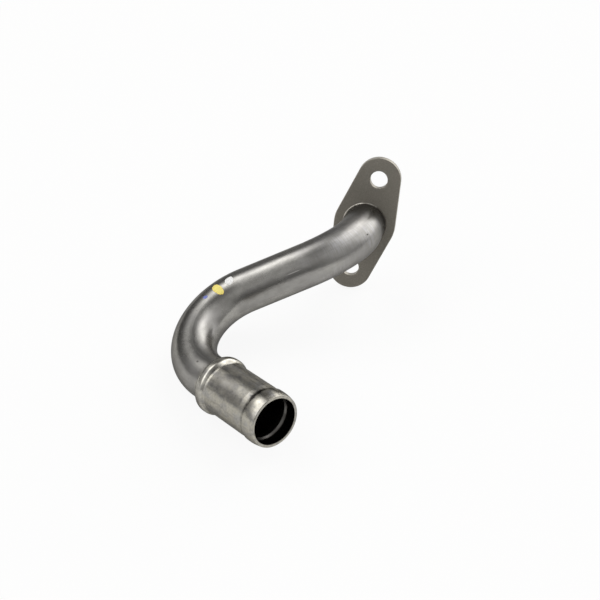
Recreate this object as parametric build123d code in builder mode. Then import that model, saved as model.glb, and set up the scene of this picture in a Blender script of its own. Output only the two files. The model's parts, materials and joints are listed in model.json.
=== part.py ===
from build123d import *

import os
from math import degrees, radians, tan

# Oil drain line of a turbocharger: a bent steel tube, brazed into a two-bolt flange plate
# at the turbocharger end and formed into a beaded hose end at the other.
#
# Frame: millimetres, +Z up. The line lies as it comes to rest on a flat surface, and the
# origin is on that surface under the middle of the part. The flange's gasket face looks
# towards +Y, and the hose end comes forward and to the right, towards -Y and +X.

# Bent tube, as a bending sheet gives it: straights, bends and the twist between them
tube_od = 16.0
tube_wall = 1.0
bend_radius = 24.0
port_straight = 10.8
first_bend = 76.3
middle_straight = 22.8
bend_twist = 153.8
second_bend = 118.2
neck_straight = 4.6

# Flange plate, and the direction in which the tube leaves it
plate_thickness = 3.0
bolt_spacing = 36.0
bolt_hole_d = 6.6
lobe_radius = 8.2
hub_radius = 11.6
plate_edge_round = 0.35
hole_edge_break = 0.2
first_bend_heading = -140.7

# Brazed joint between the tube and the plate
port_recess = 0.5
braze_gap = 0.08
braze_leg = 0.35

# Formed hose end: how far the beads stand over the seat, and lengths from the mouth back
hose_seat_od = 18.5
end_bead_height = 0.3
groove_depth = 0.25
stop_bead_height = 1.0
nose_drop = 0.5
nose_length = 2.6
end_bead_length = 5.2
groove_fall = 0.4
groove_rise = 2.8
seat_length = 17.8
stop_rise = 1.5
stop_crest = 2.6
stop_fall = 1.2
nose_round = 12.0
groove_edge_round = 0.3
groove_round = 0.2
seat_round = 1.5
stop_foot_round = 1.6
stop_crest_round = 1.5
neck_round = 0.8

# Paint marks on the second bend: degrees round the bend, degrees round the tube from the
# outside of the bend, and the size along and across the tube
paint_film = 0.1
white_mark_angles = (9.5, 97.0)
white_mark_size = (3.2, 3.6)
yellow_mark_angles = (22.6, 101.0)
yellow_mark_size = (3.3, 5.3)
blue_mark_angles = (35.5, 94.0)
blue_mark_size = (2.0, 1.6)

tube_radius = tube_od / 2
bore_radius = tube_radius - tube_wall
plate_bore_radius = tube_radius + braze_gap
tube_start = port_recess - plate_thickness

seat_radius = hose_seat_od / 2
end_bead_radius = seat_radius + end_bead_height
groove_radius = seat_radius - groove_depth
stop_bead_radius = seat_radius + stop_bead_height

# Distances back from the mouth
groove_at = end_bead_length + groove_fall
seat_from = groove_at + groove_rise
stop_foot_at = seat_from + seat_length
stop_crest_from = stop_foot_at + stop_rise
stop_crest_to = stop_crest_from + stop_crest
neck_at = stop_crest_to + stop_fall
hose_end_length = neck_at + neck_round

# Centre line in the port's own frame: origin in the middle of the plate's front face,
# Z out along the port and Y towards one of the bolt holes
centre = Vector(0, 0, 0)
port_axis = Vector(0, 0, 1)
first_lean = Vector(1, 0, 0).rotate(Axis.Z, first_bend_heading)
first_bend_axis = port_axis.cross(first_lean)
middle_axis = port_axis.rotate(Axis(centre, first_bend_axis), first_bend)
second_bend_axis = first_bend_axis.rotate(Axis(centre, middle_axis), bend_twist)
hose_axis = middle_axis.rotate(Axis(centre, second_bend_axis), second_bend)
first_tangent = bend_radius * tan(radians(first_bend / 2))
second_tangent = bend_radius * tan(radians(second_bend / 2))

first_corner = port_axis * (port_straight + first_tangent)
second_bend_start = first_corner + middle_axis * (first_tangent + middle_straight)
second_corner = second_bend_start + middle_axis * second_tangent
second_bend_centre = second_bend_start + second_bend_axis.cross(middle_axis) * bend_radius
neck_centre = second_corner + hose_axis * (second_tangent + neck_straight)
mouth_centre = neck_centre + hose_axis * hose_end_length


def lowest_of_circle(middle, axis, radius, up):
    """The lowest point of a circle, for a given upward direction."""
    downhill = axis * axis.dot(up) - up
    return middle + downhill.normalized() * radius


def resting_direction():
    """The upward direction, in the port's frame, of the line lying on a flat surface.

    It rests on three things: the back edge of the flange's lower lobe, the outside of
    the second bend and the crest of the stop bead.
    """
    lobe_centre = Vector(0, -bolt_spacing / 2, -plate_thickness)
    crest_centre = mouth_centre - hose_axis * (stop_crest_from + stop_crest_to) / 2
    up = Vector(0, 1, 0)
    for _ in range(30):
        lobe_foot = lowest_of_circle(lobe_centre, port_axis, lobe_radius, up)
        bend_middle = lowest_of_circle(second_bend_centre, second_bend_axis, bend_radius, up)
        bend_foot = bend_middle - up * tube_radius
        bead_foot = lowest_of_circle(crest_centre, hose_axis, stop_bead_radius, up)
        normal = (bend_foot - lobe_foot).cross(bead_foot - lobe_foot).normalized()
        up = normal if normal.dot(up) > 0 else -normal
    return up


# The resting frame as the port's frame sees it, then the port's plane in the resting frame
up_direction = resting_direction()
side_direction = up_direction.cross(port_axis).normalized()
rest = Plane(origin=centre, x_dir=side_direction, z_dir=up_direction)
port = Plane(
    origin=centre,
    x_dir=rest.to_local_coords(Vector(1, 0, 0)),
    z_dir=rest.to_local_coords(port_axis),
)


def placed(vector):
    """A point or a direction of the port's frame, given in the resting frame."""
    return port.from_local_coords(vector)


def bend_section(degrees_round):
    """The tube's cross-section plane so far round the second bend, X to its outside."""
    onward = middle_axis.rotate(Axis(centre, second_bend_axis), degrees_round)
    outward = onward.cross(second_bend_axis)
    return Plane(
        origin=placed(second_bend_centre + outward * bend_radius),
        x_dir=placed(outward),
        z_dir=placed(onward),
    )


mouth = Plane(
    origin=placed(mouth_centre),
    x_dir=placed(-hose_axis),
    z_dir=placed(second_bend_axis),
)
port_line = Axis(port.origin, port.z_dir)
hose_line = Axis(mouth.origin, placed(hose_axis))
second_bend_line = Axis(placed(second_bend_centre), placed(second_bend_axis))

# Oil tube: the bent run, then the formed end, whose one wall rolls out over both beads
with BuildPart() as oil_tube:
    with BuildLine() as centre_line:
        FilletPolyline(
            placed(port_axis * tube_start),
            placed(first_corner),
            placed(second_corner),
            placed(neck_centre),
            radius=bend_radius,
        )
    with BuildSketch(port.offset(tube_start)) as tube_section:
        Circle(tube_radius)
        Circle(bore_radius, mode=Mode.SUBTRACT)
    sweep()
    with BuildSketch(mouth) as end_section:
        with BuildLine() as end_skin:
            FilletPolyline(
                (-nose_length, end_bead_radius - 2 * nose_drop),
                (nose_length, end_bead_radius),
                (end_bead_length, end_bead_radius),
                (groove_at, groove_radius),
                (seat_from, seat_radius),
                (stop_foot_at, seat_radius),
                (stop_crest_from, stop_bead_radius),
                (stop_crest_to, stop_bead_radius),
                (neck_at, tube_radius),
                (hose_end_length, tube_radius),
                radius=[
                    nose_round,
                    groove_edge_round,
                    groove_round,
                    seat_round,
                    stop_foot_round,
                    stop_crest_round,
                    stop_crest_round,
                    neck_round,
                ],
            )
            offset(amount=tube_wall, kind=Kind.INTERSECTION, side=Side.RIGHT)
        make_face()
        split(bisect_by=Plane.YZ)
    revolve(axis=hose_line)

# Flange plate: two lobes and a hub in one rounded rhombic outline, stamped from flat sheet
with BuildPart() as flange_plate:
    with BuildSketch(port) as outline:
        Circle(hub_radius)
        with GridLocations(0, bolt_spacing, 1, 2):
            Circle(lobe_radius)
        make_hull()
        Circle(plate_bore_radius, mode=Mode.SUBTRACT)
        with GridLocations(0, bolt_spacing, 1, 2):
            Circle(bolt_hole_d / 2, mode=Mode.SUBTRACT)
    extrude(amount=-plate_thickness)
    front_face = flange_plate.faces().filter_by(GeomType.PLANE).sort_by(port_line)[-1]
    bolt_hole_edges = front_face.inner_wires().edges().sort_by(SortBy.RADIUS)[:2]
    fillet(front_face.outer_wire().edges(), radius=plate_edge_round)
    chamfer(bolt_hole_edges, length=hole_edge_break)

# Braze: the film drawn into the joint and the hollow fillet round the tube
with BuildPart() as braze_ring:
    with BuildSketch(Plane(port.origin, x_dir=port.x_dir, z_dir=-port.y_dir)) as braze_section:
        with BuildLine():
            Polyline(
                (tube_radius, braze_leg),
                (tube_radius, tube_start),
                (plate_bore_radius, tube_start),
                (plate_bore_radius, 0),
                (tube_radius + braze_leg, 0),
            )
            RadiusArc((tube_radius + braze_leg, 0), (tube_radius, braze_leg), braze_leg)
        make_face()
    revolve(axis=port_line)


def paint_mark(angles, size):
    """An oval film of paint, cut from a larger patch of the second bend's skin."""
    round_bend, round_tube = angles
    along, across = size
    patch_turn = degrees(2 * along / bend_radius)
    patch_spread = degrees(2 * across / tube_radius)
    patch_from = -round_tube - patch_spread / 2
    middle = bend_section(round_bend)
    with BuildPart() as mark:
        with BuildSketch(bend_section(round_bend - patch_turn / 2)):
            with BuildLine():
                steel_side = CenterArc((0, 0), tube_radius, patch_from, patch_spread)
                air_side = CenterArc((0, 0), tube_radius + paint_film, patch_from, patch_spread)
                Line(steel_side @ 0, air_side @ 0)
                Line(steel_side @ 1, air_side @ 1)
            make_face()
        revolve(axis=second_bend_line, revolution_arc=patch_turn)
        outward = middle.x_dir.rotate(Axis(centre, -middle.z_dir), round_tube)
        skin = Plane(middle.origin + outward * tube_radius, x_dir=middle.z_dir, z_dir=outward)
        with BuildSketch(skin):
            Ellipse(along / 2, across / 2)
        extrude(amount=tube_radius / 2, both=True, mode=Mode.INTERSECT)
    return mark


white_paint_mark = paint_mark(white_mark_angles, white_mark_size)
yellow_paint_mark = paint_mark(yellow_mark_angles, yellow_mark_size)
blue_paint_mark = paint_mark(blue_mark_angles, blue_mark_size)

oil_tube.part.label = "oil_tube"
flange_plate.part.label = "flange_plate"
braze_ring.part.label = "braze_ring"
white_paint_mark.part.label = "white_paint_mark"
yellow_paint_mark.part.label = "yellow_paint_mark"
blue_paint_mark.part.label = "blue_paint_mark"

# The origin goes to the surface that the line lies on, under the middle of its box
extent = Compound([oil_tube.part, flange_plate.part]).bounding_box()
to_origin = Location((-extent.center().X, -extent.center().Y, -extent.min.Z))
for node in (
    oil_tube,
    flange_plate,
    braze_ring,
    white_paint_mark,
    yellow_paint_mark,
    blue_paint_mark,
):
    node.part.move(to_origin)

os.makedirs("parts", exist_ok=True)
export_step(oil_tube.part, "parts/oil_tube.step")
export_step(flange_plate.part, "parts/flange_plate.step")
export_step(braze_ring.part, "parts/braze_ring.step")
export_step(white_paint_mark.part, "parts/white_paint_mark.step")
export_step(yellow_paint_mark.part, "parts/yellow_paint_mark.step")
export_step(blue_paint_mark.part, "parts/blue_paint_mark.step")
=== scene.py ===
"""Oil drain line of a turbocharger: the finish of every piece, its small detail, light and camera.

Lengths in the classes are millimetres in the row frame; meshes are made in metres. The tube, the
braze and the dabs of paint are made again here, finer than the CAD solids that they stand in for,
and the flange plate keeps its CAD mesh.
"""

import json
import logging
import math
from dataclasses import dataclass, field
from enum import Enum

import bmesh
import bpy
from mathutils import Matrix, Vector, noise

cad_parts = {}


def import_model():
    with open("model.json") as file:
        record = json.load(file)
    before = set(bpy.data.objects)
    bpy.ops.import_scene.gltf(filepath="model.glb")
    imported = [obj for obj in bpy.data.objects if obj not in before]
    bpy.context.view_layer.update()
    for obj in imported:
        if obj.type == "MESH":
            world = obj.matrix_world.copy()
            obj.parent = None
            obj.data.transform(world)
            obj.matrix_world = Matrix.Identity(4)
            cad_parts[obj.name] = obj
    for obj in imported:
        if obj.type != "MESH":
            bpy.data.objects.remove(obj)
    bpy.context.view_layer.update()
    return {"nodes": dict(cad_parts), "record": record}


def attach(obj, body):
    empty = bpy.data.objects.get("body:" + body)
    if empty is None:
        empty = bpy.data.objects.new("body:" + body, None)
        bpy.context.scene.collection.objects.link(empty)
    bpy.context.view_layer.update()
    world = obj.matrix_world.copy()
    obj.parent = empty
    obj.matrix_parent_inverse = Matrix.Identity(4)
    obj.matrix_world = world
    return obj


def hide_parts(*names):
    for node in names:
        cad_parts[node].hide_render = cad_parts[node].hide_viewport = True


LOG = logging.getLogger("oil_drain_line")
MM = 0.001
PER_MM = (1 / MM,) * 3
BODY = "root"
SECOND_BEND = 3
UNBENT = "unbent_place"
WALL_DEPTH = "wall_depth"
RUN_WAY = "run_direction"
FILM = "film_thickness"
WHITE = (1.0, 1.0, 1.0, 1.0)
UP = Vector((0, 0, 1))
DOT = {"operation": "DOT_PRODUCT", "output": "Value"}
SOFT = {"interpolation_type": "SMOOTHSTEP"}

Tree = bpy.types.NodeTree
Node = bpy.types.Node
Socket = bpy.types.NodeSocket
Material = bpy.types.Material
Piece = bpy.types.Object
Shape = bmesh.types.BMesh


def linear(hex_colour: str) -> tuple[float, float, float, float]:
    """Turns an sRGB hex colour into the linear colour that a shader takes.

    Args:
        hex_colour: Six hex digits after a hash sign.

    Returns:
        Linear red, green and blue, and an alpha of one.
    """
    channels = []
    for start in (1, 3, 5):
        value = int(hex_colour[start:start + 2], 16) / 255
        channels.append(value / 12.92 if value <= 0.04045 else ((value + 0.055) / 1.055) ** 2.4)
    return (channels[0], channels[1], channels[2], 1.0)


def feed(node: Node, inputs: dict | tuple) -> None:
    """Gives a node its values and its links.

    Args:
        node: The node.
        inputs: Values or output sockets, in order or by the name or number of the input.
    """
    for name, value in inputs.items() if isinstance(inputs, dict) else enumerate(inputs):
        if isinstance(value, Socket):
            node.id_data.links.new(value, node.inputs[name])
        else:
            node.inputs[name].default_value = value


def add_node(tree: Tree, kind: str, inputs: dict | tuple = (), output: int | str = 0,
             **settings: str) -> Socket:
    """Adds a node with its settings, its values and its links.

    Args:
        tree: The node tree that takes it.
        kind: The node's type name, without its prefix.
        inputs: Values or output sockets, in order or by the name or number of the input.
        output: The output that is wanted.
        settings: Properties of the node.

    Returns:
        That output.
    """
    node = tree.nodes.new("ShaderNode" + kind)
    for name, value in settings.items():
        setattr(node, name, value)
    feed(node, inputs)
    return node.outputs[output]


def mask_of(tree: Tree, *edges: tuple, within: Socket | float = 1.0) -> Socket:
    """A mask that is full only where every one of some values is past its soft edge.

    Args:
        tree: The node tree that takes it.
        edges: For each value, the value itself, where the mask is empty and where it is full.
        within: How strong the full mask is, or another mask that it stays within.

    Returns:
        The mask.
    """
    for value, none_at, full_at in edges:
        within = add_node(tree, "MapRange", (value, none_at, full_at, 0.0, within), **SOFT)
    return within


def sum_of(tree: Tree, start: Socket | float, *parts: tuple) -> Socket:
    """A value with shares of others added to it.

    Args:
        tree: The node tree that takes it.
        start: The value that they are added to.
        parts: For each other value, the value itself and its share.

    Returns:
        The sum.
    """
    for value, share in parts:
        start = add_node(tree, "Math", (value, share, start), operation="MULTIPLY_ADD")
    return start


def coated(tree: Tree, tone: Socket | tuple, *coats: tuple) -> Socket:
    """A colour with others laid over it.

    Args:
        tree: The node tree that takes it.
        tone: The colour underneath.
        coats: For each coat, its mask, how much of it shows in the full mask, and its hex colour.

    Returns:
        The colour on top.
    """
    for mask, share, colour in coats:
        amount = add_node(tree, "Math", (mask, share), operation="MULTIPLY")
        tone = add_node(tree, "Mix", {0: amount, 6: tone, 7: linear(colour)}, 2, data_type="RGBA")
    return tone


def new_material(name: str) -> tuple[Material, Tree, Node]:
    """Makes a node material.

    Args:
        name: Its name.

    Returns:
        The material, its tree and its one Principled shader.
    """
    material = bpy.data.materials.new(name)
    material.use_nodes = True
    return material, material.node_tree, material.node_tree.nodes["Principled BSDF"]


def finish_piece(bm: Shape, name: str, material: Material, sharp: float, node: str) -> Piece:
    """Turns a bmesh into a smooth piece that stands in for a CAD node.

    Args:
        bm: The shape, in metres, at its place in the row frame.
        name: The piece's name.
        material: Its material.
        sharp: Edges that turn by more than this many degrees stay sharp.
        node: The CAD node.

    Returns:
        The piece's object.
    """
    bmesh.ops.recalc_face_normals(bm, faces=list(bm.faces))
    open_edges = sum(edge.is_boundary for edge in bm.edges)
    LOG.info("%s: %d faces, %d open edges", name, len(bm.faces), open_edges)
    mesh = bpy.data.meshes.new(name)
    bm.to_mesh(mesh)
    bm.free()
    mesh.shade_smooth()
    mesh.set_sharp_from_angle(angle=math.radians(sharp))
    mesh.materials.append(material)
    piece = bpy.data.objects.new(name, mesh)
    bpy.context.scene.collection.objects.link(piece)
    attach(piece, BODY)
    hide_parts(node)
    return piece


class Zone(Enum):
    """The part of the tube that has a pattern."""

    WHOLE = "the whole tube"
    RUBBED = "the rubbed first bend"
    FORMED = "the formed hose end"
    ROLLED = "the hose end between its smooth beads"


@dataclass(frozen=True)
class Grain:
    """A pattern in a surface: noise whose features have a real size along each axis.

    Attributes:
        sizes: Feature size along each axis.
        detail: Octaves of finer noise.
        none_at: The noise at which the pattern's mask is empty.
        full_at: The noise at which it is full.
        share: How much of its colour shows in the full mask.
        coat: The colour that it lays over the surface.
        height: How high it stands in the relief.
        dulling: How much rougher it makes the surface.
        zone: The part of the tube that has it.
        fineness: How strong each finer octave is against the one before.
    """

    sizes: tuple[float, float, float]
    detail: float
    none_at: float = 0.35
    full_at: float = 0.65
    share: float = 0.0
    coat: str = ""
    height: float = 0.0
    dulling: float = 0.0
    zone: Zone = Zone.WHOLE
    fineness: float = 0.55

    def pattern(self, tree: Tree, place: Socket) -> Socket:
        """Adds the noise.

        Args:
            tree: The node tree that takes it.
            place: Where it is looked up, in millimetres.

        Returns:
            The noise, from zero to one.
        """
        scale = tuple(1 / size for size in self.sizes)
        scaled = add_node(tree, "VectorMath", (place, scale), operation="MULTIPLY")
        return add_node(tree, "TexNoise", {
            "Vector": scaled, "Scale": 1.0, "Detail": self.detail, "Roughness": self.fineness})

    def mask(self, tree: Tree, place: Socket) -> Socket:
        """The pattern's mask at a place in millimetres."""
        return mask_of(tree, (self.pattern(tree, place), self.none_at, self.full_at))


class Flaw(Enum):
    """What a small flaw in the tube's skin is."""

    PIT = "dark pit"
    SCRATCH = "bright scratch"
    # Dark smears; the one on the stop bead's lower left is partly painted shade
    SMEAR = "dark smear"
    # Pale patches; the one on the first bend is a painted highlight
    BLOOM = "pale ragged patch"
    # Painted shade laid in a crease
    GRIME = "black oil in a corner"


@dataclass(frozen=True)
class FlawLook:
    """How a kind of flaw looks.

    Attributes:
        colour: Its colour.
        share: How much of that shows.
        raggedness: How much the hose end's blotches eat into its outline.
        none_at: Where it ends, as a share of its size.
        full_at: Where it is full.
    """

    colour: str
    share: float
    raggedness: float = 1.8
    none_at: float = 2.2
    full_at: float = 1.1


@dataclass(frozen=True)
class SkinFlaw:
    """A small flaw in the tube's skin.

    Attributes:
        kind: What it is.
        place: A point on the skin, in the row frame.
        along: Half its length along the tube.
        across: Half its width round the tube.
    """

    kind: Flaw
    place: tuple[float, float, float]
    along: float
    across: float


@dataclass(frozen=True)
class Stretch:
    """A stretch of the centre line: a straight run, or a bend where it has a turn.

    Attributes:
        start: Its first point.
        onward: The direction there.
        side: A direction square to it, which turns with the tube and doesn't twist.
        length: Its length along the centre line.
        turn: Radians that it bends through, or zero.
        axis: The axis that it bends about.
        radius: Radius of its centre line.
    """

    start: Vector
    onward: Vector
    side: Vector
    length: float
    turn: float = 0.0
    axis: Vector = field(default_factory=UP.copy)
    radius: float = 0.0

    def centre(self) -> Vector:
        """The centre of a bend."""
        return self.start + self.axis.cross(self.onward) * self.radius

    def frame_at(self, along: float) -> tuple[Vector, Vector, Vector]:
        """Place, direction and side at a length along it.

        Args:
            along: Millimetres from its start.

        Returns:
            The point on the centre line, the direction onward and the side direction.
        """
        if not self.turn:
            return self.start + self.onward * along, self.onward, self.side
        turned = Matrix.Rotation(along / self.radius, 3, self.axis)
        point = self.centre() + turned @ (self.start - self.centre())
        return point, turned @ self.onward, turned @ self.side

    def along_of(self, point: Vector) -> float:
        """Measures how far along the stretch, or past its ends, a point lies.

        Args:
            point: A point near the stretch.

        Returns:
            The length from its start, less than zero before it.
        """
        if not self.turn:
            return (point - self.start).dot(self.onward)
        arm = point - self.centre()
        first = (self.start - self.centre()).normalized()
        return math.atan2(arm.dot(self.axis.cross(first)), arm.dot(first)) * self.radius

    def unbent(self, point: Vector) -> Vector:
        """Measures where a point would be if the stretch were straight.

        Args:
            point: A point near the stretch.

        Returns:
            The length along the stretch, then the two distances across it.
        """
        along = self.along_of(point)
        middle, onward, side = self.frame_at(along)
        out = point - middle
        return Vector((along, out.dot(side), out.dot(onward.cross(side))))


@dataclass
class CentreLine:
    """The bent tube's centre line, from the port to the mouth, worked out from the mounts.

    Attributes:
        port: Centre of the plate's front face.
        port_axis: Direction in which the tube leaves the plate.
        mouth: Centre of the hose end's mouth.
        hose_axis: Direction in which the hose end points.
        port_straight: Straight length in front of the plate.
        tube_start: Where the tube starts, behind the plate's front face.
        hose_straight: Straight length from the second bend to the mouth.
        bend_radius: Radius of both bends at the centre line.
        settling_steps: Rounds in which the two corners settle.
        stretches: Its straight runs and bends, in order.
    """

    port: Vector
    port_axis: Vector
    mouth: Vector
    hose_axis: Vector
    port_straight: float = 10.8
    tube_start: float = -2.5
    hose_straight: float = 36.9
    bend_radius: float = 24.0
    settling_steps: int = 40
    stretches: list[Stretch] = field(default_factory=list)

    def __post_init__(self) -> None:
        """Finds the two corners, then lays the stretches end to end."""
        first_from = self.port + self.port_axis * self.port_straight
        second_to = self.mouth - self.hose_axis * self.hose_straight
        middle = (second_to - first_from).normalized()
        for _ in range(self.settling_steps):
            first = self.bend_radius * math.tan(self.port_axis.angle(middle) / 2)
            second = self.bend_radius * math.tan(middle.angle(self.hose_axis) / 2)
            first_corner = first_from + self.port_axis * first
            second_corner = second_to - self.hose_axis * second
            middle = (second_corner - first_corner).normalized()
        side = self.port_axis.cross(middle).normalized()
        run = (second_corner - first_corner).length - first - second
        port_end = self.port + self.port_axis * self.tube_start
        self.stretches.append(
            Stretch(port_end, self.port_axis, side, self.port_straight - self.tube_start))
        self.add_bend(middle)
        self.add_run(run)
        self.add_bend(self.hose_axis)
        self.add_run(self.hose_straight)

    def end(self) -> tuple[Vector, Vector, Vector]:
        """Place, direction and side at the end of the last stretch."""
        last = self.stretches[-1]
        return last.frame_at(last.length)

    def add_run(self, length: float) -> None:
        """Adds a straight run."""
        start, onward, side = self.end()
        self.stretches.append(Stretch(start, onward, side, length))

    def add_bend(self, new_direction: Vector) -> None:
        """Adds a bend.

        Args:
            new_direction: The direction that it ends in.
        """
        start, onward, side = self.end()
        turn = onward.angle(new_direction)
        axis = onward.cross(new_direction).normalized()
        length = turn * self.bend_radius
        self.stretches.append(Stretch(start, onward, side, length, turn, axis, self.bend_radius))

    def start_of(self, number: int) -> float:
        """Length along the line at which a stretch starts."""
        return sum(stretch.length for stretch in self.stretches[:number])

    def length(self) -> float:
        """The whole length along the centre line."""
        return self.start_of(len(self.stretches))

    def unbent(self, number: int, point: Vector) -> Vector:
        """Where a stretch's point would be on a straight tube: along it, then across it twice."""
        return self.stretches[number].unbent(point) + Vector((self.start_of(number), 0, 0))

    def unbent_nearest(self, point: Vector) -> Vector:
        """Where a point would be on a straight tube, without knowing its stretch.

        Args:
            point: The point, in millimetres.

        Returns:
            The length along the line, then the two distances across it.
        """
        found = []
        for number, stretch in enumerate(self.stretches):
            along, *across = stretch.unbent(point)
            if 0 <= along <= stretch.length:
                found.append((Vector(across).length, number))
        return self.unbent(min(found)[1], point)

    def on_skin(self, number: int, along: float, round_tube: float, radius: float) -> Vector:
        """A point on or over the skin of a bend.

        Args:
            number: The bend's number among the stretches.
            along: Length along the bend.
            round_tube: Radians round the tube from the outside of the bend, over its upper side.
            radius: Distance from the centre line.

        Returns:
            The point, in millimetres.
        """
        bend = self.stretches[number]
        middle, onward, _ = bend.frame_at(along)
        outward = (middle - bend.centre()).normalized()
        upward = bend.axis if bend.axis.z > 0 else -bend.axis
        return middle + (outward * math.cos(round_tube) + upward * math.sin(round_tube)) * radius


@dataclass(frozen=True)
class DrawnSteel:
    """Drawn carbon steel tube, bare and oiled: a satin grey mirror, darker at its edges.

    The first bend was rubbed crosswise with abrasive cloth, so its highlight is wide and
    brushed; a pale patch painted on it widens that highlight further as painted highlight. The
    runs keep faint draw lines. The rolled hose end is blotchy, warmer and duller from the forming;
    the groove behind its end bead and the inside of the wall carry painted shade, and a ring inside
    the mouth a painted highlight. Patterns and places are those of the tube as if it were
    straight, X along it; a pair of places gives where a mask is empty, then where it is full.

    Attributes:
        bright: The clean steel.
        dull: The same under a thin oil film, in soft blotches.
        formed: The hose end.
        crest: The top of the stop bead, rubbed bright by the rollers.
        stain: Smears and drag marks, and the darker patch on the stop bead's lower left, which is
            partly painted shade.
        bloom: Pale patches where the rollers rubbed the oil off, and a pale patch painted as the
            first bend's highlight.
        rub: The fresh, cooler steel in the rub lines of the first bend.
        pit: Small dark pits; also the colour of the painted shade in the groove.
        worn: A fresh scratch and the die's line.
        bore: The inside of the wall, painted dark as the shade inside the tube.
        edge: What grazing light keeps, less than all because of the oil film.
        roughness: Of the clean steel.
        rubbed_roughness: Of the rubbed first bend.
        rubbed_stretch: How much the crosswise rub lines stretch its highlight along the tube.
        formed_roughness: Of the hose end.
        burnished_roughness: Of the beads, which the rollers pressed smooth.
        relief: Height of the relief's full range.
        rubbing_starts: Where the rubbing starts, from the start of the first bend.
        rubbing_ends: Where it ends, from that bend's end.
        forming_starts: Where the formed look starts, from the start of the formed end.
        burnished_over: The radii over which the beads are smooth.
        crest_over: The radii over which the top of the stop bead is bright.
        crest_share: How much of the bright crest shows.
        bead_polish: How much of the rolled blotches the beads have lost.
        bore_from: Depths in the wall, as shares of it, from which the inside is painted dark.
        dirt_reach: How far the painted shade in the groove behind the end bead reaches.
        dirt_share: How much of it shows.
        wipe_reach: How far the paler ring inside the mouth, a painted highlight on the inner ridge
            under the groove, reaches.
        wipe_share: How much of it shows.
        die_line_half: Half the width of the bending die's line.
        die_line_starts: Where it starts, from the start of the second bend.
        die_line_ends: Where it ends, from that bend's end.
        die_line_share: How much of it shows.
        pit_spacing: Distance between small pits.
        pit_half: Half a pit's width, as a share of that.
        pit_rarity: The share of the places that have none.
        pit_share: How dark they are.
        pit_depth: How deep they are in the relief.
        scuffs: Where the rub lines are fainter.
        scuff_range: How much of the rub lines is left outside the scuffs and in them.
        mottle: The hose end's blotches, which also make the flaws' outlines ragged.
        grains: All its patterns, from the undermost colour up.
    """

    bright: str = "#ACAAA5"
    dull: str = "#9C9A97"
    formed: str = "#B3AFA4"
    crest: str = "#DBD8CF"
    stain: str = "#73706B"
    bloom: str = "#CFCBC4"
    rub: str = "#CAC9CF"
    pit: str = "#1E1C1A"
    worn: str = "#E6E4DF"
    bore: str = "#504C48"
    edge: str = "#9C9C9C"
    roughness: float = 0.26
    rubbed_roughness: float = 0.31
    rubbed_stretch: float = 0.5
    formed_roughness: float = 0.28
    burnished_roughness: float = 0.19
    relief: float = 0.06
    rubbing_starts: tuple[float, float] = (-4.0, 6.0)
    rubbing_ends: tuple[float, float] = (5.0, -9.0)
    forming_starts: tuple[float, float] = (-1.5, 0.5)
    burnished_over: tuple[float, float] = (9.32, 9.5)
    crest_over: tuple[float, float] = (9.6, 9.95)
    crest_share: float = 0.4
    bead_polish: float = 0.65
    bore_from: tuple[float, float] = (0.88, 0.99)
    dirt_reach: tuple[float, float] = (0.8, 0.15)
    dirt_share: float = 0.25
    wipe_reach: tuple[float, float] = (1.8, 0.9)
    wipe_share: float = 0.45
    die_line_half: tuple[float, float] = (0.26, 0.05)
    die_line_starts: tuple[float, float] = (12.0, 20.0)
    die_line_ends: tuple[float, float] = (3.0, -2.0)
    die_line_share: float = 0.18
    pit_spacing: float = 3.6
    pit_half: tuple[float, float] = (0.055, 0.02)
    pit_rarity: float = 0.55
    pit_share: float = 0.7
    pit_depth: float = 0.6
    scuffs: Grain = Grain((9, 6, 6), 2, 0.36, 0.6)
    scuff_range: tuple[float, float] = (1.0, 0.2)
    mottle: Grain = Grain(
        (3.3, 2.2, 2.2), 6, 0.35, 0.6, share=1.0, coat=formed, zone=Zone.FORMED)
    grains: tuple[Grain, ...] = (
        # Soft blotches of the oil film, faint clouds, and waves from the drawing
        Grain((14, 7, 7), 5, 0.35, 0.65, share=1.0, coat=dull, dulling=0.04),
        Grain((3.64, 2.6, 2.6), 6, 0.42, 0.62, share=0.2, coat=stain, height=0.3),
        Grain((9, 6, 6), 3, height=1.5),
        # Rub lines and wider ones among them, drawn coarser than the real 0.1 so that they show
        Grain((0.34, 5, 5), 3, 0.4, 0.68, share=0.42, coat=rub, height=0.22, zone=Zone.RUBBED),
        Grain((0.68, 7, 7), 3, height=0.1, zone=Zone.RUBBED),
        # Draw lines, drawn coarser than the real 0.1 for the same reason
        Grain((45, 0.6, 0.6), 2, 0.58, 0.75, share=0.22, coat=stain, height=0.06),
        # The hose end's blotches and drag marks
        mottle,
        Grain((3.3, 2.2, 2.2), 6, height=0.5, zone=Zone.ROLLED),
        Grain((16, 1.3, 1.3), 3, 0.5, 0.72, share=0.5, coat=stain, zone=Zone.FORMED),
        # Its grain, drawn coarser than real too: dark spots and pale ones
        Grain((0.7, 0.7, 0.7), 3, 0.5, 0.7, share=0.3, coat=stain, height=0.25, zone=Zone.ROLLED),
        Grain((0.7, 0.7, 0.7), 3, 0.48, 0.34, share=0.26, coat=bloom, zone=Zone.ROLLED),
    )

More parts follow.
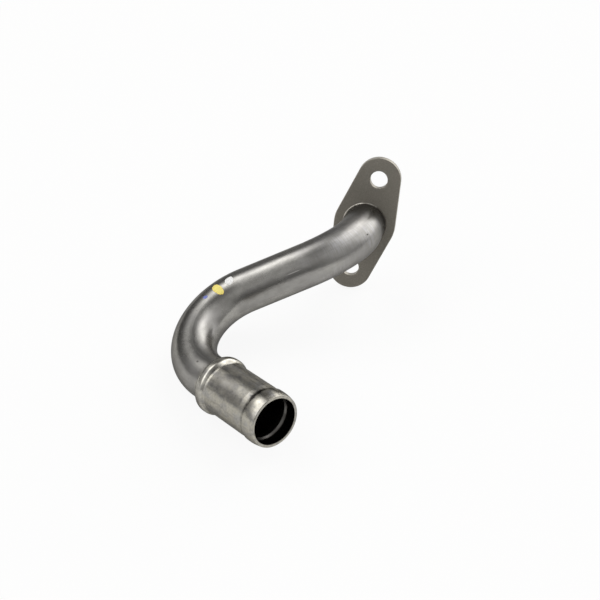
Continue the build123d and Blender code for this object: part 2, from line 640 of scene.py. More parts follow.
    def flaw_coat(self, tree: Tree, place: Socket, mottle: Socket, line: CentreLine,
                  flaw: SkinFlaw) -> tuple[Socket, float, str]:
        """The coat that draws a flaw.

        Args:
            tree: The node tree that takes it.
            place: The place on the unbent tube, in millimetres.
            mottle: The noise that makes its outline ragged.
            line: The tube's centre line.
            flaw: The flaw.

        Returns:
            Its mask, how much of it shows, and its colour.
        """
        looks = {
            Flaw.PIT: FlawLook(self.pit, 0.8, raggedness=0.0, none_at=1.1, full_at=0.5),
            Flaw.SCRATCH: FlawLook(self.worn, 0.8, raggedness=0.0, none_at=1.1, full_at=0.5),
            Flaw.SMEAR: FlawLook(self.stain, 0.6),
            Flaw.BLOOM: FlawLook(self.bloom, 0.34),
            Flaw.GRIME: FlawLook(self.pit, 0.95),
        }
        look = looks[flaw.kind]
        centre = line.unbent_nearest(Vector(flaw.place))
        away = add_node(tree, "VectorMath", (place, tuple(centre)), operation="SUBTRACT")
        size = (1 / flaw.along, 1 / flaw.across, 1 / flaw.across)
        scaled = add_node(tree, "VectorMath", (away, size), operation="MULTIPLY")
        reach = add_node(tree, "VectorMath", (scaled,), "Value", operation="LENGTH")
        reach = sum_of(tree, reach, (mottle, look.raggedness))
        return mask_of(tree, (reach, look.none_at, look.full_at)), look.share, look.colour

    def die_line(self, tree: Tree, place: Socket, along: Socket, line: CentreLine,
                 on_skin: Vector) -> Socket:
        """The mask of the bending die's line on the second bend.

        Args:
            tree: The node tree that takes it.
            place: The place on the unbent tube, in millimetres.
            along: The length along the line of that place.
            line: The tube's centre line.
            on_skin: A point of the die's line.

        Returns:
            The mask.
        """
        across = line.unbent(SECOND_BEND, on_skin)
        across.x = 0.0
        across.normalize()
        off = add_node(tree, "VectorMath", (place, (0, -across.z, across.y)), **DOT)
        off = add_node(tree, "Math", (off,), operation="ABSOLUTE")
        towards = add_node(tree, "VectorMath", (place, across), **DOT)
        bend_from, bend_to = line.start_of(SECOND_BEND), line.start_of(SECOND_BEND + 1)
        return mask_of(
            tree, (off, *self.die_line_half), (towards, 0.0, 1.0),
            (along, *(bend_from + edge for edge in self.die_line_starts)),
            (along, *(bend_to + edge for edge in self.die_line_ends)))

    def lay_grains(self, tree: Tree, place: Socket, zones: dict[Zone, Socket | float]) -> tuple:
        """Lays every pattern over the clean steel.

        Args:
            tree: The node tree that takes it.
            place: The place on the unbent tube, in millimetres.
            zones: The mask of each part of the tube.

        Returns:
            The colour, the roughness and the height in the relief.
        """
        tone, rough, height = linear(self.bright), self.roughness, 0.0
        for grain in self.grains:
            zone = zones[grain.zone]
            pattern = grain.pattern(tree, place)
            if grain.share:
                mask = mask_of(tree, (pattern, grain.none_at, grain.full_at), within=zone)
                tone = coated(tree, tone, (mask, grain.share, grain.coat))
                rough = sum_of(tree, rough, (mask, grain.dulling)) if grain.dulling else rough
            if grain.height:
                raised = add_node(tree, "Math", (pattern, zone), operation="MULTIPLY")
                height = sum_of(tree, height, (raised, grain.height))
        return tone, rough, height

    def build(self, line: CentreLine, flaws: tuple[SkinFlaw, ...], formed_from: float,
              groove_back: float, on_die_line: Vector) -> Material:
        """Makes the material from the tube's own unbent coordinates.

        Args:
            line: The tube's centre line, for the lengths along it.
            flaws: The small flaws of its skin.
            formed_from: Where the formed hose end starts, back from the mouth.
            groove_back: Where the groove behind the end bead is, back from the mouth.
            on_die_line: A point of the bending die's line.

        Returns:
            The material.
        """
        material, tree, shader = new_material("drawn_steel")
        place = add_node(tree, "Attribute", (), "Vector", attribute_name=UNBENT)
        place = add_node(tree, "VectorMath", (place, PER_MM), operation="MULTIPLY")
        along = add_node(tree, "SeparateXYZ", (place,))
        across = add_node(tree, "VectorMath", (place, (0, 1, 1)), operation="MULTIPLY")
        radial = add_node(tree, "VectorMath", (across,), "Value", operation="LENGTH")
        from_groove = sum_of(tree, groove_back - line.length(), (along, 1.0))
        from_groove = add_node(tree, "Math", (from_groove,), operation="ABSOLUTE")
        depth = add_node(tree, "Attribute", (), "Fac", attribute_name=WALL_DEPTH)

        rubbed = mask_of(
            tree, (along, *(line.start_of(1) + edge for edge in self.rubbing_starts)),
            (along, *(line.start_of(2) + edge for edge in self.rubbing_ends)))
        faint = add_node(tree, "MapRange", (
            self.scuffs.pattern(tree, place), self.scuffs.none_at, self.scuffs.full_at,
            *self.scuff_range), **SOFT)
        scuffed = add_node(tree, "Math", (rubbed, faint), operation="MULTIPLY")
        end = line.length() - formed_from
        formed = mask_of(tree, (along, *(end + edge for edge in self.forming_starts)))
        burnished = mask_of(tree, (radial, *self.burnished_over), within=formed)
        rolled = sum_of(tree, formed, (burnished, -self.bead_polish))
        crest = mask_of(tree, (radial, *self.crest_over), within=formed)
        # Painted shade: the inside of the wall is dark all over
        bore = mask_of(tree, (depth, *self.bore_from))
        cells = add_node(tree, "TexVoronoi", {"Vector": place, "Scale": 1 / self.pit_spacing})
        chance = add_node(tree, "SeparateColor", (cells.node.outputs["Color"],))
        chance = add_node(tree, "Math", (chance, self.pit_rarity), operation="GREATER_THAN")
        pits = mask_of(tree, (cells, *self.pit_half), within=chance)

        tone, rough, height = self.lay_grains(tree, place, {
            Zone.WHOLE: 1.0, Zone.RUBBED: scuffed, Zone.FORMED: formed, Zone.ROLLED: rolled})
        mottle = self.mottle.pattern(tree, place)
        # Painted shade all round the groove behind the end bead
        dirt = mask_of(tree, (from_groove, *self.dirt_reach))
        # Painted highlight: a paler ring inside the mouth, where the inner ridge under the groove
        # catches light
        wiped = mask_of(tree, (from_groove, *self.wipe_reach), within=bore)
        tone = coated(
            tree, tone,
            (crest, self.crest_share, self.crest),
            (self.die_line(tree, place, along, line, on_die_line), self.die_line_share, self.worn),
            *(self.flaw_coat(tree, place, mottle, line, flaw) for flaw in flaws),
            (pits, self.pit_share, self.pit),
            (dirt, self.dirt_share, self.pit),
            (bore, 1.0, self.bore),
            (wiped, self.wipe_share, self.dull))
        rough = sum_of(
            tree, rough,
            (rubbed, self.rubbed_roughness - self.roughness),
            (formed, self.formed_roughness - self.roughness),
            (burnished, self.burnished_roughness - self.formed_roughness))
        height = sum_of(tree, height, (pits, -self.pit_depth))
        bump = {"Height": height, "Strength": 1.0, "Distance": self.relief * MM}
        feed(shader, {
            "Base Color": tone,
            "Metallic": 1.0,
            "Specular Tint": linear(self.edge),
            "Roughness": rough,
            "Anisotropic": add_node(
                tree, "Math", (rubbed, self.rubbed_stretch), operation="MULTIPLY"),
            "Tangent": add_node(tree, "Attribute", (), "Vector", attribute_name=RUN_WAY),
            "Normal": add_node(tree, "Bump", bump),
        })
        return material


@dataclass(frozen=True)
class StampedSteel:
    """Stamped mild steel plate, pickled: a fine matt grain, darker and warmer than the tube.

    Its sheared edge is brighter, most of all in the burnished band next to the front face.

    Attributes:
        face: Its colour.
        shade: The darker tone of its grain.
        sheared: The sheared edge and the hole walls.
        ground: The gasket face, ground flat.
        roughness: Of the matt face.
        grain_roughness: How much rougher the grain makes it.
        sheared_smoothness: How much smoother the sheared edge is.
        ground_smoothness: How much smoother the gasket face is.
        relief: Height of the grain.
        front_edge: Heights over the front face at which the sheared edge starts and is full.
        back_edge: The same where it ends at the back.
        torn: Heights at which the edge is torn and dull, and at which it is burnished.
        torn_share: How much of the bright edge the torn part shows.
        gasket_side: Heights at which the ground face starts and is full.
        grinding_line: Width of its grinding lines, drawn coarser than the real 0.05 to show.
        grinding_edges: The noise at which those lines are darkest and brightest.
        grinding_range: How much of the ground colour shows there.
        grain: The matt grain, drawn coarser than the real 0.1 so that it shows.
        clouds: Its faint clouds.
    """

    face: str = "#A39E95"
    shade: str = "#8D8980"
    sheared: str = "#B5B0A5"
    ground: str = "#A8A59E"
    roughness: float = 0.6
    grain_roughness: float = 0.12
    sheared_smoothness: float = 0.12
    ground_smoothness: float = 0.24
    relief: float = 0.03
    front_edge: tuple[float, float] = (-0.08, -0.28)
    back_edge: tuple[float, float] = (-2.98, -2.9)
    torn: tuple[float, float] = (-1.5, -1.2)
    torn_share: float = 0.35
    gasket_side: tuple[float, float] = (-2.95, -2.99)
    grinding_line: float = 0.3
    grinding_edges: tuple[float, float] = (0.3, 0.7)
    grinding_range: tuple[float, float] = (0.2, 0.9)
    grain: Grain = Grain((0.4, 0.4, 0.4), 4, 0.25, 0.75)
    clouds: Grain = Grain((6, 6, 6), 4, 0.35, 0.65, share=0.3)

    def build(self, port: Vector, port_axis: Vector) -> Material:
        """Makes the material.

        Args:
            port: Centre of the plate's front face, in millimetres.
            port_axis: Direction that the front face looks in.

        Returns:
            The material.
        """
        material, tree, shader = new_material("stamped_steel")
        place = add_node(tree, "TexCoord", (), "Object")
        place = add_node(tree, "VectorMath", (place, PER_MM), operation="MULTIPLY")
        from_port = add_node(tree, "VectorMath", (place, tuple(port)), operation="SUBTRACT")
        height = add_node(tree, "VectorMath", (from_port, port_axis), **DOT)
        off = add_node(tree, "VectorMath", (from_port, port_axis.cross(UP).normalized()), **DOT)
        lines = {"W": off, "Scale": 1 / self.grinding_line, "Detail": 3.0}
        lines = add_node(tree, "TexNoise", lines, noise_dimensions="1D")
        grain = self.grain.pattern(tree, place)
        wall = mask_of(tree, (height, *self.front_edge), (height, *self.back_edge))
        gasket_side = mask_of(tree, (height, *self.gasket_side))
        burnished = add_node(tree, "MapRange", (height, *self.torn, self.torn_share, 1.0), **SOFT)
        lined = add_node(
            tree, "MapRange", (lines, *self.grinding_edges, *self.grinding_range), **SOFT)
        tone = coated(
            tree, linear(self.shade),
            (mask_of(tree, (grain, self.grain.none_at, self.grain.full_at)), 1.0, self.face),
            (self.clouds.mask(tree, place), self.clouds.share, self.shade),
            (wall, burnished, self.sheared),
            (gasket_side, lined, self.ground))
        rough = sum_of(
            tree, self.roughness, (grain, self.grain_roughness), (wall, -self.sheared_smoothness),
            (gasket_side, -self.ground_smoothness))
        relief = sum_of(tree, grain, (gasket_side, lines))
        bump = {"Height": relief, "Strength": 0.6, "Distance": self.relief * MM}
        feed(shader, {
            "Base Color": tone,
            "Metallic": 1.0,
            "Roughness": rough,
            "Normal": add_node(tree, "Bump", bump),
        })
        return material


@dataclass(frozen=True)
class SilverBraze:
    """Silver brazing alloy as it froze: pale, a little warm and bright, greyed by flux in places,
    painted lighter on the side towards the light and with painted shade on the far side.

    Attributes:
        bright: The clean alloy, which shows on the side towards the light.
        fluxed: Where flux has dulled it, and the painted shade on the side away from the light.
        roughness: Of its clean skin.
        flux_roughness: How much rougher flux makes it.
        relief: Height of its ripples.
        clean_from: How far towards the light the painted lighter side starts, and is full; behind
            it lies painted shade.
        patches: Patches that the flux has dulled there too.
        ripples: The ripples that it froze with.
    """

    bright: str = "#E2DED4"
    fluxed: str = "#645F59"
    roughness: float = 0.28
    flux_roughness: float = 0.25
    relief: float = 0.05
    clean_from: tuple[float, float] = (1.0, 6.5)
    patches: Grain = Grain((3, 3, 3), 3, 0.4, 0.6, share=0.5)
    ripples: Grain = Grain((0.9, 0.9, 0.9), 2)

    def build(self, port: Vector, torch_side: Vector) -> Material:
        """Makes the material.

        Args:
            port: Centre of the plate's front face, in millimetres.
            torch_side: The direction of the light; the alloy is painted lighter towards it and
                painted shade away from it.

        Returns:
            The material.
        """
        material, tree, shader = new_material("silver_braze")
        place = add_node(tree, "TexCoord", (), "Object")
        place = add_node(tree, "VectorMath", (place, PER_MM), operation="MULTIPLY")
        from_port = add_node(tree, "VectorMath", (place, tuple(port)), operation="SUBTRACT")
        # Painted light and shade: full towards the lit side, painted shade away from it, less the
        # flux patches
        towards = add_node(tree, "VectorMath", (from_port, torch_side), **DOT)
        clean = mask_of(tree, (towards, *self.clean_from))
        clean = sum_of(tree, clean, (self.patches.mask(tree, place), -self.patches.share))
        clean = add_node(tree, "Math", (clean, 0.0), operation="MAXIMUM")
        ripples = self.ripples.pattern(tree, place)
        bump = {"Height": ripples, "Strength": 0.5, "Distance": self.relief * MM}
        fluxed = self.roughness + self.flux_roughness
        feed(shader, {
            "Base Color": coated(tree, linear(self.fluxed), (clean, 1.0, self.bright)),
            "Metallic": 1.0,
            "Roughness": sum_of(tree, fluxed, (clean, -self.flux_roughness)),
            "Normal": add_node(tree, "Bump", bump),
        })
        return material


@dataclass(frozen=True)
class MarkerPaint:
    """Paint marker on steel: a matt film, opaque where it is thick and darker at its thin rim.

    Attributes:
        name: The material's name.
        thick: Colour of the full film.
        thin: Colour where steel shows through it.
        roughness: Of the dry film.
        relief: Height of the brush marks.
        brushed: The brush marks.
        thick_from: Thickness, as a share of the film, from which the full colour shows.
    """

    name: str
    thick: str
    thin: str
    roughness: float = 0.5
    relief: float = 0.04
    brushed: Grain = Grain((0.8, 0.8, 0.8), 4, height=0.4)
    thick_from: tuple[float, float] = (0.1, 0.6)

    def build(self) -> Material:
        """Makes the material.

        Returns:
            The material.
        """
        material, tree, shader = new_material(self.name)
        place = add_node(tree, "TexCoord", (), "Object")
        place = add_node(tree, "VectorMath", (place, PER_MM), operation="MULTIPLY")
        film = add_node(tree, "Attribute", (), "Fac", attribute_name=FILM)
        brushed = sum_of(tree, 0.0, (self.brushed.pattern(tree, place), self.brushed.height))
        thickness = sum_of(tree, -self.brushed.height / 2, (film, 1.0), (brushed, 1.0))
        thick = mask_of(tree, (thickness, *self.thick_from))
        bump = {"Height": brushed, "Strength": 0.5, "Distance": self.relief * MM}
        feed(shader, {
            "Base Color": coated(tree, linear(self.thin), (thick, 1.0, self.thick)),
            "Roughness": self.roughness,
            "Normal": add_node(tree, "Bump", bump),
        })
        return material


@dataclass
class OilTube:
    """The bent tube with its rolled hose end, one wall throughout.

    Attributes:
        line: Its centre line.
        finish: Its steel.
        outside: Outside diameter of the plain tube.
        wall: Wall thickness.
        around: Facets round the tube.
        step: Length of a facet along a bend.
        run_step: Length of a facet along a straight run.
        seat_radius: Outside radius of the hose seat.
        end_bead: How far the end bead stands over the seat.
        groove: How deep the groove behind it is.
        groove_back: How far back from the mouth it is.
        stop_bead: How far the stop bead stands over the seat.
        nose_drop: How far the nose is turned in at the mouth.
        nose_length: Length of the turned-in nose.
        lip_break: Rounding of the lip's edges.
        inside_spread: How much longer the groove's slope is inside the wall.
        inside_depth: How much more the groove stands out there, where the roller pinched the wall.
        inside_round: Rounding of that slope's two corners.
        least_round: Least rounding of the other inner corners.
        arc_steps: Facets round a rounded corner of the section.
        longest_round: The largest share of a side that a rounding takes.
        merge_reach: Corners closer than this become one.
        sharp: Edges that turn by more than this many degrees stay sharp.
        die_line: Where the bending die's line lies, in degrees from the second bend's outside.
        flaws: The flaws of its skin that the photograph shows.
    """

    line: CentreLine
    finish: DrawnSteel = DrawnSteel()
    outside: float = 16.0
    wall: float = 1.0
    around: int = 128
    step: float = 0.8
    run_step: float = 3.2
    seat_radius: float = 9.25
    end_bead: float = 0.3
    groove: float = 0.25
    groove_back: float = 6.0
    stop_bead: float = 1.0
    nose_drop: float = 0.5
    nose_length: float = 2.6
    lip_break: float = 0.25
    inside_spread: float = 0.3
    inside_depth: float = 0.25
    inside_round: float = 0.8
    least_round: float = 0.2
    arc_steps: int = 8
    longest_round: float = 0.48
    merge_reach: float = 0.004
    sharp: float = 40.0
    die_line: float = 105.0
    flaws: tuple[SkinFlaw, ...] = (
        SkinFlaw(Flaw.PIT, (-20.08, -33.33, 16.0), 0.55, 0.45),
        SkinFlaw(Flaw.PIT, (26.04, 29.41, 35.86), 0.5, 0.35),
        # Painted highlight: a pale patch where the first bend's highlight lies
        SkinFlaw(Flaw.BLOOM, (21.5, 32.13, 38.56), 6.0, 4.0),
        SkinFlaw(Flaw.SCRATCH, (3.56, 8.14, 29.06), 3.2, 0.22),
        SkinFlaw(Flaw.SMEAR, (-4.9, -51.4, 18.6), 9.5, 1.9),
        SkinFlaw(Flaw.SMEAR, (-8.24, -44.99, 19.47), 8.0, 3.6),
        SkinFlaw(Flaw.BLOOM, (-7.4, -46.2, 19.2), 3.0, 1.5),
        SkinFlaw(Flaw.BLOOM, (-18.67, -35.44, 16.03), 3.6, 2.6),
        # Partly painted shade: a darker patch on the stop bead's lower left, the side turned from
        # the light, over a brownish stain
        SkinFlaw(Flaw.SMEAR, (-17.6, -44.31, 9.63), 2.6, 6.0),
        # Painted shade along the upper side of the groove behind the end bead
        SkinFlaw(Flaw.GRIME, (3.9, -52.4, 23.0), 1.2, 9.0),
    )

    def hose_corners(self) -> list[tuple[float, float, float]]:
        """Corners of the hose end's skin, from the neck to the mouth.

        Returns:
            For each corner its distance back from the mouth, its radius, and its rounding.
        """
        plain = self.outside / 2
        seat = self.seat_radius
        crest = seat + self.stop_bead
        bead = seat + self.end_bead
        return [
            (32.3, plain, 0.0),  # where the formed end starts
            (31.5, plain, 0.8),  # neck
            (30.3, crest, 1.5),  # crest of the stop bead
            (27.7, crest, 1.5),
            (26.2, seat, 1.6),  # hose seat
            (8.4, seat, 1.5),
            (5.6, seat - self.groove, 0.2),  # bottom of the groove
            (5.2, bead, 0.3),  # back of the end bead
            (self.nose_length, bead, 12.0),
            (0.0, bead - self.nose_drop, self.lip_break),  # lip
        ]

    def inner_corners(self) -> list[tuple[float, float, float]]:
        """The same corners on the inside of the wall, from the mouth back to the neck.

        Returns:
            For each corner its distance back from the mouth, its radius, and its rounding.
        """
        outer = self.hose_corners()
        spots = [Vector(corner[:2]) for corner in outer]
        ways = [(after - here).normalized() for here, after in zip(spots, spots[1:])]
        found = []
        for number, (back, radius, rounding) in enumerate(outer):
            before, after = ways[max(number - 1, 0)], ways[min(number, len(ways) - 1)]
            first, second = (
                Vector((way.y, -way.x)) if way.x > 0 else Vector((-way.y, way.x))
                for way in (before, after))
            mitre = (first + second) / (1 + first.dot(second)) * self.wall
            rounding += self.wall if before.cross(after) < 0 else -self.wall
            found.append((back + mitre.x, radius + mitre.y, max(rounding, self.least_round)))
        found[-1] = (0.0, outer[-1][1] + self.wall / first.y, self.lip_break)
        # The bottom of the groove, and the back of the end bead after it
        back, radius, _ = found[-4]
        found[-4] = (back + self.inside_spread, radius - self.inside_depth, self.inside_round)
        back, radius, _ = found[-3]
        found[-3] = (back - self.inside_spread, radius, self.inside_round)
        return list(reversed(found))

    def round_corners(self, bm: Shape, chain: list[tuple], places: list[Vector]) -> None:
        """Rounds the corners of the hose end's section.

        Args:
            bm: The mesh that holds the section as a wire.
            chain: The section's corners with their roundings.
            places: Where those corners are, in metres.
        """
        for number in range(1, len(chain) - 1):
            here = places[number]
            back, onward = here - places[number - 1], places[number + 1] - here
            reach = chain[number][2] * MM * math.tan(back.angle(onward) / 2)
            reach = min(reach, self.longest_round * min(back.length, onward.length))
            wire = [vert for vert in bm.verts if vert.is_wire]
            corner = min(wire, key=lambda vert: (vert.co - here).length)
            bmesh.ops.bevel(
                bm, geom=[corner], offset=reach, offset_type="OFFSET", affect="VERTICES",
                segments=self.arc_steps, profile=0.5, material=-1)

    def outer_radius_at(self, back: float) -> float:
        """Works out the outside radius of the tube.

        Args:
            back: Distance back from the mouth.

        Returns:
            The radius there, without the corners' rounding.
        """
        corners = self.hose_corners()
        for (upper, from_radius, _), (lower, to_radius, _) in zip(corners, corners[1:]):
            if lower <= back <= upper:
                return from_radius + (to_radius - from_radius) * (upper - back) / (upper - lower)
        return corners[0][1] if back > 0 else corners[-1][1]

    def note_places(self, bm: Shape, known: set, number: int) -> None:
        """Writes where every corner that a stretch has added lies, and the tube's direction there.

        Args:
            bm: The mesh.
            known: The corners that were there before.
            number: The stretch.
        """
        place_layer = bm.verts.layers.float_vector[UNBENT]
        depth_layer = bm.verts.layers.float[WALL_DEPTH]
        way_layer = bm.verts.layers.float_vector[RUN_WAY]
        length = self.line.length()
        stretch, start = self.line.stretches[number], self.line.start_of(number)
        for vert in bm.verts:
            if vert not in known:
                unbent = self.line.unbent(number, vert.co / MM)
                below = self.outer_radius_at(length - unbent.x) - math.hypot(unbent.y, unbent.z)
                depth = below / self.wall
                vert[place_layer] = unbent * MM
                vert[way_layer] = stretch.frame_at(unbent.x - start)[1]
                vert[depth_layer] = min(max(depth, 0.0), 1.0)

    def add_port_end(self, bm: Shape) -> list:
        """Makes the flat cut end at the port.

        Args:
            bm: The mesh that takes it.

        Returns:
            The edges of its two circles.
        """
        start, onward, side = self.line.stretches[0].frame_at(0.0)
        place = Matrix((side, onward.cross(side), onward)).transposed().to_4x4()
        place.translation = start * MM
        made = bmesh.ops.create_circle(
            bm, segments=self.around, radius=self.outside / 2 * MM, matrix=place)
        outer_ring = list({edge for vert in made["verts"] for edge in vert.link_edges})
        grown = bmesh.ops.extrude_edge_only(bm, edges=outer_ring)["geom"]
        corners = [item for item in grown if isinstance(item, bmesh.types.BMVert)]
        shrink = 1 - 2 * self.wall / self.outside
        bmesh.ops.scale(bm, vec=(shrink,) * 3, space=Matrix.Translation(-start * MM), verts=corners)
        inner_ring = [item for item in grown if isinstance(item, bmesh.types.BMEdge)]
        inner_ring = [edge for edge in inner_ring if all(vert in corners for vert in edge.verts)]
        return outer_ring + inner_ring

    def add_stretch(self, bm: Shape, rings: list, number: int, length: float) -> list:
        """Sweeps the tube's section along one stretch.

        Args:
            bm: The mesh that grows.
            rings: Edges of the section where the stretch starts.
            number: The stretch.
            length: How much of it is swept.

        Returns:
            The edges of the section at its end.
        """
        stretch = self.line.stretches[number]
        if stretch.turn:
            spun = bmesh.ops.spin(
                bm, geom=rings, cent=stretch.centre() * MM, axis=stretch.axis, angle=stretch.turn,
                steps=math.ceil(length / self.step), use_duplicate=False)
            return [item for item in spun["geom_last"] if isinstance(item, bmesh.types.BMEdge)]
        steps = max(1, round(length / self.run_step))
        for _ in range(steps):
            grown = bmesh.ops.extrude_edge_only(bm, edges=rings)["geom"]
            corners = [item for item in grown if isinstance(item, bmesh.types.BMVert)]
            rings = [item for item in grown if isinstance(item, bmesh.types.BMEdge)]
            bmesh.ops.translate(bm, verts=corners, vec=stretch.onward * (length / steps * MM))
        return rings

    def add_hose_end(self, bm: Shape) -> None:
        """Spins the section of the formed end about the hose axis.

        Args:
            bm: The mesh that takes it.
        """
        stretch = self.line.stretches[-1]
        chain = self.hose_corners() + self.inner_corners()
        places = [
            (self.line.mouth - stretch.onward * back + stretch.side * radius) * MM
            for back, radius, _ in chain]
        known = set(bm.verts)
        corners = [bm.verts.new(place) for place in places]
        for pair in zip(corners, corners[1:]):
            bm.edges.new(pair)
        self.round_corners(bm, chain, places)
        section = [vert for vert in bm.verts if vert not in known]
        section += [edge for edge in bm.edges if edge.is_wire]
        bmesh.ops.spin(
            bm, geom=section, cent=self.line.mouth * MM, axis=stretch.onward, angle=math.tau,
            steps=self.around, use_merge=True, use_duplicate=False)

    def build(self) -> Piece:
        """Builds the tube in place of the CAD node and gives it its finish.

        Returns:
            The tube's object.
        """
        bm = bmesh.new()
        bm.verts.layers.float_vector.new(UNBENT)
        bm.verts.layers.float_vector.new(RUN_WAY)
        bm.verts.layers.float.new(WALL_DEPTH)
        formed_from = self.hose_corners()[0][0]
        rings = self.add_port_end(bm)
        self.note_places(bm, set(), 0)
        last = len(self.line.stretches) - 1
        for number, stretch in enumerate(self.line.stretches):
            known = set(bm.verts)
            formed = formed_from if number == last else 0.0
            rings = self.add_stretch(bm, rings, number, stretch.length - formed)
            self.note_places(bm, known, number)
        known = set(bm.verts)
        self.add_hose_end(bm)
        self.note_places(bm, known, last)
        bmesh.ops.remove_doubles(bm, verts=list(bm.verts), dist=self.merge_reach * MM)
        half_round = self.line.stretches[SECOND_BEND].length / 2
        on_die_line = self.line.on_skin(
            SECOND_BEND, half_round, math.radians(self.die_line), self.outside / 2)
        steel = self.finish.build(self.line, self.flaws, formed_from, self.groove_back, on_die_line)
        return finish_piece(bm, "steel_oil_tube", steel, self.sharp, "oil_tube")


@dataclass
class FlangePlate:
    """The stamped flange plate, whose CAD mesh is fine enough as it is.

    Attributes:
        line: The tube's centre line.
        finish: Its steel.
    """

    line: CentreLine
    finish: StampedSteel = StampedSteel()

    def dress(self, node: Piece) -> None:
        """Gives the CAD node its finish.

        Args:
            node: The plate's object.
        """
        node.data.materials.clear()
        node.data.materials.append(self.finish.build(self.line.port, self.line.port_axis))
        LOG.info("flange plate: dressed")


@dataclass
class BrazedJoint:
    """The brazing filler: the film in the joint and a small fillet, which flowed out unevenly.

    Attributes:
        line: The tube's centre line.
        finish: Its alloy.
        tube_radius: Outside radius of the tube.
        gap: Thickness of the film.
        depth: How far the film reaches behind the plate's front face.
        leg: Mean size of the fillet.
        unevenness: How much of the leg comes and goes round the tube.
        waves: How often it does.
        hollow_cuts: Corners across the hollow fillet.
        around: Facets round the tube.
        touching: Corners closer to the plate and the film than this stay where they are.
        torch_lean: How far to the left the painted lit side of the filler leans, for one part
            upward.
        sharp: Edges that turn by more than this many degrees stay sharp.
    """

    line: CentreLine
    finish: SilverBraze = SilverBraze()
    tube_radius: float = 8.0
    gap: float = 0.08
    depth: float = 2.5
    leg: float = 0.35
    unevenness: float = 0.3
    waves: float = 2.2
    hollow_cuts: int = 5
    around: int = 160
    touching: float = 0.001
    torch_lean: float = 0.8
    sharp: float = 50.0

    def build(self) -> Piece:
        """Builds the filler in place of the CAD node.

        Returns:
            The filler's object.
        """
        axis = self.line.port_axis
        side = self.line.stretches[0].side
        bm = bmesh.new()
        section = (
            (0.0, self.leg), (0.0, -self.depth), (self.gap, -self.depth), (self.gap, 0.0),
            (self.leg, 0.0))
        skin = self.line.port + side * self.tube_radius
        corners = [bm.verts.new((skin + side * out + axis * up) * MM) for out, up in section]
        for pair in zip(corners, corners[1:] + corners[:1]):
            bm.edges.new(pair)
        slope = bm.edges.get((corners[-1], corners[0]))
        split = bmesh.ops.subdivide_edges(bm, edges=[slope], cuts=self.hollow_cuts)
        hollow = [item for item in split["geom_inner"] if isinstance(item, bmesh.types.BMVert)]
        rim = self.line.port + axis * self.leg + side * (self.tube_radius + self.leg)
        for vert in hollow:
            away = (vert.co / MM - rim).normalized()
            vert.co = (rim + away * self.leg) * MM
        bmesh.ops.spin(
            bm, geom=list(bm.verts) + list(bm.edges), cent=self.line.port * MM, axis=axis,
            angle=math.tau, steps=self.around, use_merge=True, use_duplicate=False)
        for vert in bm.verts:
            arm = vert.co / MM - self.line.port
            height = arm.dot(axis)
            out = arm - axis * height
            over = out.length - self.tube_radius - self.gap
            swell = self.unevenness * 2 * noise.noise(out.normalized() * self.waves)
            if height > self.touching:
                vert.co += axis * (height * swell) * MM
            if over > self.touching:
                vert.co += out.normalized() * (over * swell) * MM
        # The side towards the light, where the filler is painted lighter; the far side gets painted
        # shade
        upward = (UP - axis * axis.z).normalized()
        torch_side = (upward - Vector((1, 0, 0)) * self.torch_lean).normalized()
        alloy = self.finish.build(self.line.port, torch_side)
        return finish_piece(bm, "silver_braze_fillet", alloy, self.sharp, "braze_ring")


